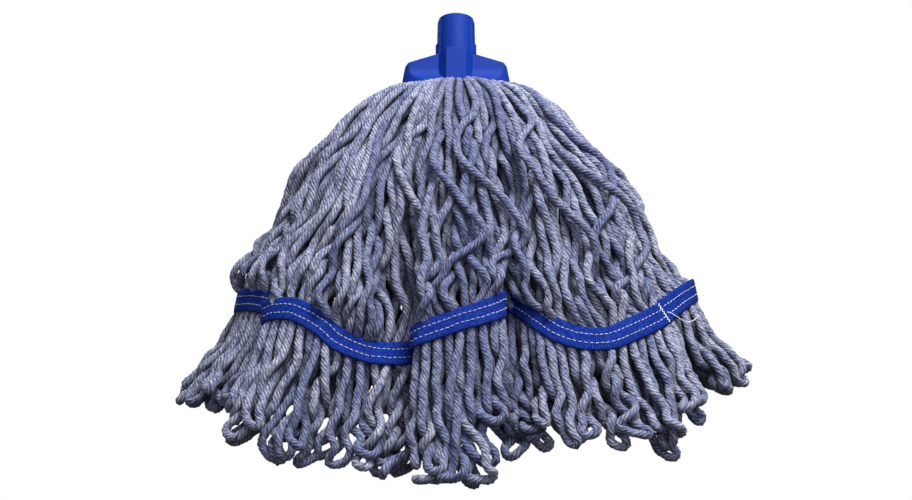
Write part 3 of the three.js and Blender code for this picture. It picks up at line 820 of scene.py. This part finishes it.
def bumped(tree, height, strength, distance):
    inputs = {"Height": height, "Strength": strength, "Distance": distance}
    return node(tree, "ShaderNodeBump", inputs).outputs[0]


def object_place(tree):
    return node(tree, "ShaderNodeTexCoord").outputs["Object"]


def attribute(tree, name):
    return node(tree, "ShaderNodeAttribute", attribute_name=name).outputs["Fac"]


def yarn_material():
    """Heather cotton: blue and pale grey fibres lying along the twisted singles, with painted shade
    in the valleys between the singles, on yarn under other yarn and on sides turned inward.
    """
    made, tree, shader = material("heather_yarn")
    uv = node(tree, "ShaderNodeUVMap", uv_map="OFBake").outputs[0]
    place = object_place(tree)

    def along_strand(round_it, along_it):
        scale = (LOOPS_PER_PIECE * round_it, along_it, 1)
        scaled = node(tree, "ShaderNodeVectorMath", {0: uv, 1: scale}, operation="MULTIPLY")
        return scaled.outputs[0]

    fibre = noise(tree, along_strand(11.0, 260.0), 1.0, 3.0, 0.65)
    flecks = noise(tree, along_strand(7.0, 170.0), 1.0, 2.0, 0.7)
    broad = noise(tree, along_strand(2.0, 36.0), 1.0, 2.0, 0.5)
    fine = noise(tree, place, 1500.0, 2.0, 0.6)
    patch = noise(tree, place, 28.0, 2.0, 0.5)
    drift = maths(tree, "MULTIPLY", maths(tree, "SUBTRACT", broad, 0.5), 0.35)
    blend = maths(tree, "ADD", fibre, drift)
    colour = mixed(tree, ramp(tree, blend, 0.36, 0.62), rgb(84, 94, 148), rgb(200, 203, 217))
    pale = maths(tree, "MULTIPLY", ramp(tree, fine, 0.58, 0.72), 0.5)
    colour = mixed(tree, pale, colour, rgb(232, 233, 236))
    fleck = tinted(tree, colour, rgb(140, 145, 176))
    colour = mixed(tree, ramp(tree, flecks, 0.55, 0.68), colour, fleck)
    # Painted shade: the valleys between the singles are darkened in the colour, on top of their real
    # relief.
    painted_valley_shade = tinted(tree, colour, rgb(98, 102, 126))
    colour = mixed(tree, ramp(tree, attribute(tree, "ridge"), 0.0, 0.75), painted_valley_shade, colour)
    tone = maths(tree, "ADD", attribute(tree, "shade"), maths(tree, "MULTIPLY", patch, 0.35))
    bluer = tinted(tree, colour, rgb(184, 191, 218))
    colour = mixed(tree, ramp(tree, tone, 0.2, 1.1), bluer, colour)
    # Painted shade: the yarn's colour is darkened where it lies under other yarn or faces inward.
    painted_shade_colour = tinted(tree, colour, rgb(46, 49, 68))
    colour = mixed(tree, attribute(tree, "painted_shade"), colour, painted_shade_colour)
    height = maths(
        tree, "ADD", maths(tree, "MULTIPLY", fibre, 0.6), maths(tree, "MULTIPLY", fine, 0.5),
    )
    set_inputs(tree, shader, {
        "Base Color": colour, "Roughness": 0.95, "Specular IOR Level": 0.15,
        "Sheen Weight": 0.15, "Sheen Roughness": 0.6, "Normal": bumped(tree, height, 0.6, 0.0005),
    })
    return made


def plastic_material():
    made, tree, shader = material("blue_plastic")
    place = object_place(tree)
    grain = noise(tree, place, 2600.0, 2.0, 0.6)
    flow = noise(tree, place, 30.0, 3.0, 0.5)
    colour = mixed(tree, flow, rgb(7, 48, 144), rgb(11, 54, 152))
    roughness = maths(tree, "ADD", 0.5, maths(tree, "MULTIPLY", flow, 0.16))
    set_inputs(tree, shader, {
        "Base Color": colour, "Roughness": roughness, "Specular IOR Level": 0.14,
        "Normal": bumped(tree, grain, 0.12, 0.0002),
    })
    return made


def tape_material():
    made, tree, shader = material("blue_tape")
    place = object_place(tree)
    fine = noise(tree, place, 2200.0, 2.0, 0.6)
    patch = noise(tree, place, 60.0, 2.0, 0.5)
    weave = noise(tree, place, 520.0, 2.0, 0.6)
    colour = mixed(tree, ramp(tree, fine, 0.3, 0.7), rgb(18, 58, 168), rgb(42, 98, 224))
    # Painted shade: the grooves between the tape's ribs are darkened in the colour, on top of their
    # real relief.
    painted_groove_shade = tinted(tree, colour, rgb(70, 84, 120))
    colour = mixed(tree, attribute(tree, "ridge"), painted_groove_shade, colour)
    worn = tinted(tree, colour, rgb(150, 160, 196))
    colour = mixed(tree, ramp(tree, weave, 0.62, 0.38), colour, worn)
    faded = tinted(tree, colour, rgb(220, 222, 240))
    colour = mixed(tree, ramp(tree, patch, 0.3, 0.8), colour, faded)
    set_inputs(tree, shader, {
        "Base Color": colour, "Roughness": 0.85, "Specular IOR Level": 0.12,
        "Normal": bumped(tree, fine, 0.4, 0.0003),
    })
    return made


def thread_material():
    made, tree, shader = material("sewing_thread")
    place = object_place(tree)
    fine = noise(tree, place, 3000.0, 2.0, 0.6)
    colour = mixed(tree, fine, rgb(222, 225, 236), rgb(250, 250, 253))
    set_inputs(tree, shader, {
        "Base Color": colour, "Roughness": 0.6, "Normal": bumped(tree, fine, 0.3, 0.0002),
    })
    return made


def steel_material():
    made, tree, shader = material("screw_steel")
    place = object_place(tree)
    fine = noise(tree, place, 900.0, 3.0, 0.6)
    colour = mixed(tree, fine, rgb(160, 164, 170), rgb(196, 198, 202))
    roughness = maths(tree, "ADD", 0.25, maths(tree, "MULTIPLY", fine, 0.2))
    set_inputs(tree, shader, {"Base Color": colour, "Metallic": 1.0, "Roughness": roughness})
    return made


# ------------------------------ pieces

SINGLES = 6
SINGLE_PROFILE = (-1.0, 0.35, 0.85, 0.35)
COLUMNS = len(SINGLE_PROFILE) * SINGLES
RING_STEP = 2.6
TWIST_LEAD = 23.0
RELIEF_LENGTH = 820.0  # the length that the relief's random waves are spread over
PLY_SWELL = 0.05  # shares of the strand's radius
SINGLE_RELIEF = 0.16
LOOSE_RELIEF = 0.09
LUMP = 0.05
END_SHRINK = 0.02  # closes the strands' hidden ends
MOUTH_SIZE = 0.68  # of DRAWN_RADIUS in the socket, then growing below it
MOUTH_GROWTH = 0.32
BAND_PINCH = 0.14
UNDER_SHADE = 0.8  # how dark the painted shade makes yarn lying under others and yarn turned inward
TURNED_SHADE = 0.6


def refine(chains, step):
    """The strands resampled on a smooth curve, with the same number of rings on each."""
    fine = np.stack([catmull_rom(chain, 6) for chain in chains])
    rings = int(arc_lengths(fine)[:, -1].mean() / step)
    return np.stack([evenly(line, rings) for line in fine])


def along_rings(values, chains, rings):
    """Values of the chains' nodes carried over to evenly spaced rings."""
    along = arc_lengths(chains)
    at = np.linspace(0, 1, rings)
    return np.stack([np.interp(at, a / a[-1], v) for a, v in zip(along, values)])


def yarn_radius(rings):
    """Strand radius along a loop: pinched in the socket and under the tape."""
    share = np.abs(np.linspace(-1, 1, rings))
    from_mouth = (1 - share) * (2 * LEG_LINKS + FRINGE_LINKS) / 2 / LEG_LINKS
    size = MOUTH_SIZE + MOUTH_GROWTH * smoothstep(from_mouth / 0.26)
    return DRAWN_RADIUS * size * (1 - BAND_PINCH * hump(from_mouth, 1, 0.035))


def strand_surfaces(lines):
    """Twisted strand surfaces: points, ring directions and height of the singles' ridges."""
    count, rings = lines.shape[:2]
    _, side, up = carried_frames(lines)
    base_angle = np.arange(COLUMNS) * 2 * math.pi / COLUMNS
    ply = PLY_SWELL * np.cos(2 * base_angle)
    level = np.tile(SINGLE_PROFILE, SINGLES)
    even = np.linspace(0, RELIEF_LENGTH, rings)
    loose = waves(count, even, (9, 17, 33), (COLUMNS,))
    ridge = level * (0.8 + 0.7 * loose) * 0.5 + 0.5
    profile = 1 + ply + SINGLE_RELIEF * (ridge - 0.6) + LOOSE_RELIEF * loose
    start = rng.uniform(0, 2 * math.pi, (count, 1, 1))
    lead = TWIST_LEAD * rng.uniform(0.9, 1.12, (count, 1, 1))
    angle = start + base_angle - arc_lengths(lines)[..., None] * 2 * math.pi / lead
    lumps = 1 + waves(count, even, (23, 41, 90), ()) * LUMP
    radius = yarn_radius(rings)[None, :] * lumps * rng.uniform(0.94, 1.05, (count, 1))
    reach = radius[..., None] * profile
    reach[:, [0, -1]] *= END_SHRINK
    cosine, sine = np.cos(angle)[..., None], np.sin(angle)[..., None]
    ring = side[:, :, None] * cosine + up[:, :, None] * sine
    return lines[:, :, None] + ring * reach[..., None], ring, ridge


def build_yarn(chains, finish):
    """The looped strands in PIECES pieces, each in the place of its hanks in CAD."""
    lines = refine(chains, RING_STEP)
    count, rings = lines.shape[:2]
    points, ring, ridge = strand_surfaces(lines)
    shade = rng.uniform(0, 1, count)
    # Painted shade: yarn lying under other strands, and the sides of strands turned inward, are
    # painted darker in their colour.
    under = along_rings(covering(chains), chains, rings)[..., None]
    turned_in = np.clip(0.5 - np.sum(ring * outward_at(lines)[:, :, None], axis=-1), 0, 1)
    painted_shade = 1 - (1 - UNDER_SHADE * under) * (1 - TURNED_SHADE * turned_in)
    quads = tube_quads(rings, COLUMNS)
    for number in range(PIECES):
        chosen = np.arange(number * LOOPS_PER_PIECE, (number + 1) * LOOPS_PER_PIECE)
        faces = np.concatenate([quads + k * rings * COLUMNS for k in range(LOOPS_PER_PIECE)])
        name = f"yarn_hank_{number + 1:02d}"
        piece = mesh_object(name, points[chosen].reshape(-1, 3), faces, finish)
        add_attribute(piece, "ridge", np.clip(ridge[chosen], 0, 1).ravel())
        add_attribute(piece, "shade", np.repeat(shade[chosen], rings * COLUMNS))
        add_attribute(piece, "painted_shade", painted_shade[chosen].ravel())
        add_strip_uv(piece, yarn_uv(rings))
        nodes = [f"outer_hank_{number + 1:02d}"]
        if number % 2 == 0:
            nodes.append(f"inner_hank_{number // 2 + 1}")
        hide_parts(*nodes)
        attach(piece, "root")


def yarn_uv(rings):
    """Strip layout of a piece's strands side by side, one (u, v) for each corner."""
    strand = np.arange(LOOPS_PER_PIECE)[:, None, None, None]
    ring = np.arange(rings - 1)[None, :, None, None]
    column = np.arange(COLUMNS)[None, None, :, None]
    corner_column = np.array([0, 1, 1, 0])
    corner_ring = np.array([0, 0, 1, 1])
    u = (strand + (column + corner_column) / COLUMNS * 0.96 + 0.02) / LOOPS_PER_PIECE
    v = (ring + corner_ring) / (rings - 1) + 0 * u
    return np.stack([u + 0 * v, v], axis=-1)


# ------------------------------ tape and stitching

TAPE_RIB = 1.6
RIB_HEIGHT = 0.16
TAPE_ROWS = 15  # points across one face of the tape


def tape_surface(route, along_index, across, proud):
    """Points on the outer side of the tape; across runs from -1 (top edge) to 1 (bottom)."""
    run, _, down, normal = route
    place, below, outward = (rows_at(along_index, values) for values in (run, down, normal))
    return place + below * (across * TAPE_WIDTH / 2)[..., None] + outward * proud[..., None]


def build_tape(finish):
    """The woven tape: a strip with cross ribs and rounded edges, front and back faces."""
    route = tape_frame(TAPE_RIB / 2)
    columns = len(route[0])
    index = np.arange(columns)
    half = np.linspace(-1, 1, TAPE_ROWS)
    edge = np.sqrt(np.clip(1 - np.abs(half) ** 8, 0, 1))
    rib = (index % 2).astype(float)
    length = index * TAPE_RIB / 2
    swell = np.sin(length / 23) * 0.25 + np.sin(length / 9.7 + 1) * 0.12
    around = np.concatenate([half, half[::-1][1:-1]])
    face = np.concatenate([edge * 0.5, -edge[::-1][1:-1] * 0.5])
    face[0] = face[TAPE_ROWS - 1] = 0
    thin = np.clip(np.minimum(index, columns - 1 - index) / 2, 0, 1)
    points = []
    for across, level in zip(around, face):
        ribbed = level * TAPE_THICKNESS + np.sign(level) * (rib - 0.5) * RIB_HEIGHT
        proud = ribbed * thin + swell * 0.5
        points.append(tape_surface(route, index, np.full(columns, across), proud))
    points = np.stack(points, axis=1)
    sides = len(around)
    quads = tube_quads(columns, sides)
    piece = mesh_object("woven_tail_band", points.reshape(-1, 3), quads, finish)
    add_attribute(piece, "ridge", np.repeat(rib, sides))
    ring = np.arange(columns - 1)[:, None, None]
    column = np.arange(sides)[None, :, None]
    u = (column + np.array([0, 1, 1, 0])) / sides + 0 * ring
    v = (ring + np.array([0, 0, 1, 1])) / (columns - 1) + 0 * u
    add_strip_uv(piece, np.stack([v, u], axis=-1))
    return piece, route, arc_lengths(route[0])[-1] * MM


STITCH_PITCH = 4.2
STITCH_LENGTH = 3.2
STITCH_RADIUS = 0.24
STITCH_SIDES = 6
STITCH_BOW = 0.35  # how far a stitch's middle stands off the tape
ROW_PLACE = 0.36  # the rows' places, as a share of half the tape's width
ROW_END = 3.0
BARTACK_TURNS = 13
BARTACK_FROM_END = 4.2
BARTACK_HALF_WIDTH = 0.9
BARTACK_REACH = 0.86  # share of half the tape's width
BARTACK_RADIUS = 0.4
TAIL_RADIUS = 0.35


def rows_per_mm(route):
    return (len(route[0]) - 1) / arc_lengths(route[0])[-1]


def build_stitches(name, route, across, finish):
    """One row of lockstitches: short rounded threads pulled into the tape at their ends."""
    total = arc_lengths(route[0])[-1]
    centres = np.arange(ROW_END, total - ROW_END, STITCH_PITCH)
    t = np.linspace(-1, 1, 7)
    all_points, all_faces = [], []
    quads = tube_quads(len(t), STITCH_SIDES)
    for number, centre in enumerate(centres):
        at = (centre + t * STITCH_LENGTH / 2 + rng.normal(0, 0.15)) * rows_per_mm(route)
        level = TAPE_THICKNESS / 2 + STITCH_BOW * (1 - t**4) - 0.1
        wander = across + rng.normal(0, 0.012) + t * rng.normal(0, 0.012)
        line = tape_surface(route, at, wander, level)
        size = STITCH_RADIUS * np.sqrt(np.clip(1.02 - t**6, 0.02, 1))
        points = line[:, None] + unit_rings(line, STITCH_SIDES) * size[:, None, None]
        all_points.append(points.reshape(-1, 3))
        all_faces.append(quads + number * len(t) * STITCH_SIDES)
    return mesh_object(name, np.concatenate(all_points), np.concatenate(all_faces), finish)


# The loose end of the bartack's thread; the same points as the CAD thread's.
TAIL_ROUTE = [
    (170.5, -61.5, -288.5), (174, -60, -289.2), (179, -57, -291.5), (184.5, -53.5, -293.8),
    (190, -49.5, -293.5), (194.5, -45.5, -291), (198.5, -42.5, -287),
]


def build_bartack(route, finish):
    """The zigzag that closes the lap, sewn across the tape near its upper end."""
    total = arc_lengths(route[0])[-1]
    t = np.linspace(0, 1, BARTACK_TURNS * 6)
    zigzag = np.abs((t * BARTACK_TURNS) % 2 - 1) * 2 - 1
    at = (total - BARTACK_FROM_END + zigzag * BARTACK_HALF_WIDTH) * rows_per_mm(route)
    level = np.full(len(t), TAPE_THICKNESS / 2 + 0.25)
    line = tape_surface(route, at, BARTACK_REACH * (2 * t - 1), level)
    return tube("lap_bartack", line, BARTACK_RADIUS, 6, finish)


def build_thread_tail(finish):
    line = catmull_rom(TAIL_ROUTE, 8)
    return tube("loose_thread_tail", line, TAIL_RADIUS, 8, finish), line


def dress(name, finish):
    """Gives a CAD node its material."""
    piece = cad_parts[name]
    piece.data.materials.clear()
    piece.data.materials.append(finish)
    return piece


def round_shell(name, finish):
    """Softens the moulded edges of a socket shell and gives it the plastic."""
    shell = dress(name, finish)
    remesh = shell.modifiers.new("moulded", "REMESH")
    remesh.mode = "VOXEL"
    remesh.voxel_size = 0.0005
    remesh.use_smooth_shade = True
    soften = shell.modifiers.new("soften", "SMOOTH")
    soften.factor = 0.5
    soften.iterations = 3


def build_floor():
    made, tree, shader = material("studio_floor")
    set_inputs(tree, shader, {
        "Base Color": (0.3, 0.3, 0.3, 1), "Roughness": 0.9,
        "Emission Color": (1, 1, 1, 1), "Emission Strength": FLOOR_GLOW,
    })
    side = node(tree, "ShaderNodeNewGeometry").outputs["Backfacing"]
    clear = node(tree, "ShaderNodeBsdfTransparent")
    pick = node(tree, "ShaderNodeMixShader", {0: side, 1: shader.outputs[0], 2: clear.outputs[0]})
    tree.links.new(pick.outputs[0], tree.nodes["Material Output"].inputs["Surface"])
    corners = [(-1, -1), (1, -1), (1, 1), (-1, 1)]
    points = [(x * FLOOR_REACH, y * FLOOR_REACH, FLOOR_Z / MM) for x, y in corners]
    floor = mesh_object("floor", points, [[0, 1, 2, 3]], made)
    floor.visible_diffuse = False


build_floor()
thread = thread_material()
tape_finish = tape_material()
plastic = plastic_material()
steel = steel_material()
yarn_finish = yarn_material()

tail, tail_line = build_thread_tail(thread)
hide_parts("thread_tail")
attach(tail, "root")

band, band_route, band_length = build_tape(tape_finish)
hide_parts("tail_band")
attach(band, "root")

for name, across in (("upper", -ROW_PLACE), ("lower", ROW_PLACE)):
    row = build_stitches(f"lockstitch_row_{name}", band_route, across, thread)
    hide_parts(f"band_stitching_{name}")
    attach(row, "root")

tack = build_bartack(band_route, thread)
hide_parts("band_bartack")
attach(tack, "root")

build_yarn(yarn_chains(), yarn_finish)

for name in ("front_shell", "rear_shell"):
    round_shell(name, plastic)
for name in ("shell_screw_left", "shell_screw_right", "yarn_bar"):
    dress(name, steel)
dress("yarn_fold", yarn_finish)
dress("binding_tape", tape_finish)
